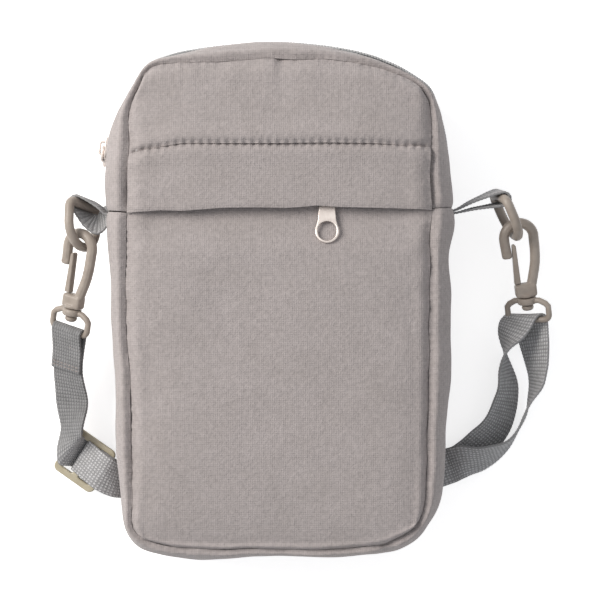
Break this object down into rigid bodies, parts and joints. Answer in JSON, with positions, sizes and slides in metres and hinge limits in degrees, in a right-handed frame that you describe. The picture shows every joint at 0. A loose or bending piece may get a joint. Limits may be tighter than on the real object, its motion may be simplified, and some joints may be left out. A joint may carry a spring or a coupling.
{
  "type": "tech pouch",
  "caption": "Small padded crossbody pouch lying on its back: zipped compartment, flap-covered front pocket, side D-rings, swivel hooks and an adjustable webbing strap folded under it.",
  "frame": {"origin": "middle of the bag's flat back, on the surface that it rests on", "axes": "+X to the right as the front is seen, +Y to the bag's top, +Z out of the front"},
  "size_m": [0.2166, 0.2177, 0.051],
  "materials": {
    "polyester": "brushed woven polyester over foam",
    "lining": "plain woven lining",
    "zip_tape": "woven tape",
    "zip_coil": "nylon coil",
    "webbing": "ribbed polyester webbing",
    "nickel": "satin nickel plate",
    "taupe_plastic": "satin moulded acetal",
    "cream_plastic": "satin moulded acetal"
  },
  "bodies": {
    "root": {"lower_gusset": "polyester", "upper_gusset_front": "polyester", "upper_gusset_back": "polyester", "pocket_panel": "polyester", "zip_flap": "polyester", "upper_front_panel": "polyester", "back_panel": "polyester", "divider_panel": "lining", "front_seam_binding": "lining", "back_seam_binding": "lining", "main_tape_front": "zip_tape", "main_tape_back": "zip_tape", "main_coil_front": "zip_coil", "main_coil_back": "zip_coil", "pocket_tape_lower": "zip_tape", "pocket_tape_upper": "zip_tape", "pocket_coil_lower": "zip_coil", "pocket_coil_upper": "zip_coil", "pocket_stop_left": "nickel", "pocket_stop_right": "nickel", "main_stop_left": "nickel", "main_stop_right": "nickel", "tab_left": "webbing", "tab_right": "webbing", "strap_left_run": "webbing", "strap_slider_run": "webbing", "strap_sewn_end": "webbing", "strap_under_lower": "webbing", "strap_under_upper": "webbing", "strap_right_inner": "webbing", "strap_right_outer": "webbing", "strap_adjuster": "cream_plastic"},
    "pocket_slider": {"pocket_slider": "nickel"},
    "pocket_puller": {"pocket_puller": "nickel"},
    "main_slider": {"main_slider": "nickel"},
    "main_puller": {"main_puller": "nickel"},
    "d_ring_left": {"d_ring_left": "taupe_plastic"},
    "d_ring_right": {"d_ring_right": "taupe_plastic"},
    "loop_left": {"swivel_loop_left": "taupe_plastic"},
    "loop_right": {"swivel_loop_right": "taupe_plastic"},
    "hook_left": {"hook_left": "taupe_plastic"},
    "hook_right": {"hook_right": "taupe_plastic"},
    "gate_left": {"gate_left": "taupe_plastic"},
    "gate_right": {"gate_right": "taupe_plastic"}
  },
  "joints": [
    {"name": "pocket_zip", "type": "slide", "parent": "root", "child": "pocket_slider", "axis": [1, 0, 0], "range_m": [-0.066, 0.032]},
    {"name": "pocket_puller_swing", "type": "hinge", "parent": "pocket_slider", "child": "pocket_puller", "pos_m": [0.0195, 0.043, 0.0463], "axis": [0, 0, 1], "range_deg": [-14, 12]},
    {"name": "main_zip", "type": "slide", "parent": "root", "child": "main_slider", "axis": [-0.1116, -0.9938, 0], "range_m": [-0.003, 0.012]},
    {"name": "main_puller_swing", "type": "hinge", "parent": "main_slider", "child": "main_puller", "pos_m": [-0.0744, 0.0616, 0.025], "axis": [-0.9938, 0.1116, 0], "range_deg": [-14, 20]},
    {"name": "d_ring_left_hinge", "type": "hinge", "parent": "root", "child": "d_ring_left", "pos_m": [-0.0825, 0.0398, 0.0252], "axis": [0.5011, -0.2004, -0.8419], "range_deg": [-3, 2]},
    {"name": "d_ring_right_hinge", "type": "hinge", "parent": "root", "child": "d_ring_right", "pos_m": [0.0923, 0.043, 0.025], "axis": [-0.202, 0.1265, -0.9712], "range_deg": [-2.5, 2.5]},
    {"name": "loop_left_hinge", "type": "hinge", "parent": "root", "child": "loop_left", "pos_m": [-0.08896, -0.01304, 0.0201], "axis": [0.822, -0.2691, 0.502], "range_deg": [-4, 0.5]},
    {"name": "loop_right_hinge", "type": "hinge", "parent": "root", "child": "loop_right", "pos_m": [0.10579, -0.00838, 0.01205], "axis": [0.9036, 0.0109, 0.4282], "range_deg": [-0.5, 4]},
    {"name": "hook_left_swivel", "type": "hinge", "parent": "loop_left", "child": "hook_left", "pos_m": [-0.08733, -0.0033, 0.02265], "axis": [0.16, 0.9549, 0.25], "range_deg": [-15, 15]},
    {"name": "hook_right_swivel", "type": "hinge", "parent": "loop_right", "child": "hook_right", "pos_m": [0.10446, 0.00141, 0.0146], "axis": [-0.1301, 0.9594, 0.2501], "range_deg": [-15, 15]},
    {"name": "gate_left_press", "type": "hinge", "parent": "hook_left", "child": "gate_left", "pos_m": [-0.08881, 0.00444, 0.02285], "axis": [0.5466, 0.1252, -0.828], "range_deg": [0, 14], "stiffness_Nm_per_rad": 0.02, "springref_deg": -5.73},
    {"name": "gate_right_press", "type": "hinge", "parent": "hook_right", "child": "gate_right", "pos_m": [0.10037, 0.00784, 0.01661], "axis": [-0.0983, 0.2385, -0.9662], "range_deg": [0, 14], "stiffness_Nm_per_rad": 0.02, "springref_deg": -5.73}
  ]
}
